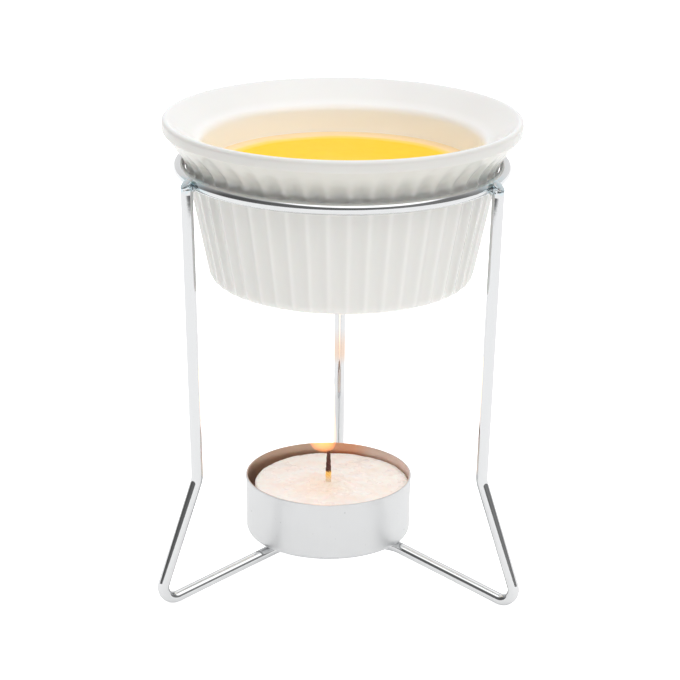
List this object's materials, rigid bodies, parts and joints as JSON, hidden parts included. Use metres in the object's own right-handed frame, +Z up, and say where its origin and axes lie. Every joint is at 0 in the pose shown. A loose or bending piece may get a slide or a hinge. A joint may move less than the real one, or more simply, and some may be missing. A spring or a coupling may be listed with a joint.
{
  "type": "butter warmer",
  "caption": "Chromed wire stand that holds a small fluted porcelain dish of melted butter over a tealight, to keep it warm at the table.",
  "frame": {"origin": "where the dish's axis meets the table that the three wire feet stand on", "axes": "+Z up along the dish's axis, +Y towards the back leg, +X to the right seen from the front"},
  "size_m": [0.0818, 0.087, 0.1083],
  "materials": {
    "porcelain": "white gloss glaze",
    "butter": "clear melted butter, glossy liquid surface",
    "chrome_wire": "bright chrome plating",
    "cup_metal": "thin satin aluminium",
    "wax": "off-white paraffin wax",
    "wick": "charred cotton",
    "sustainer_metal": "tinned steel"
  },
  "bodies": {
    "root": {"dish": "porcelain", "melted_butter": "butter", "top_ring": "chrome_wire", "leg_back": "chrome_wire", "leg_front_left": "chrome_wire", "leg_front_right": "chrome_wire", "tealight_cup": "cup_metal", "tealight_wax": "wax", "tealight_wick": "wick", "wick_sustainer": "sustainer_metal"}
  },
  "joints": []
}
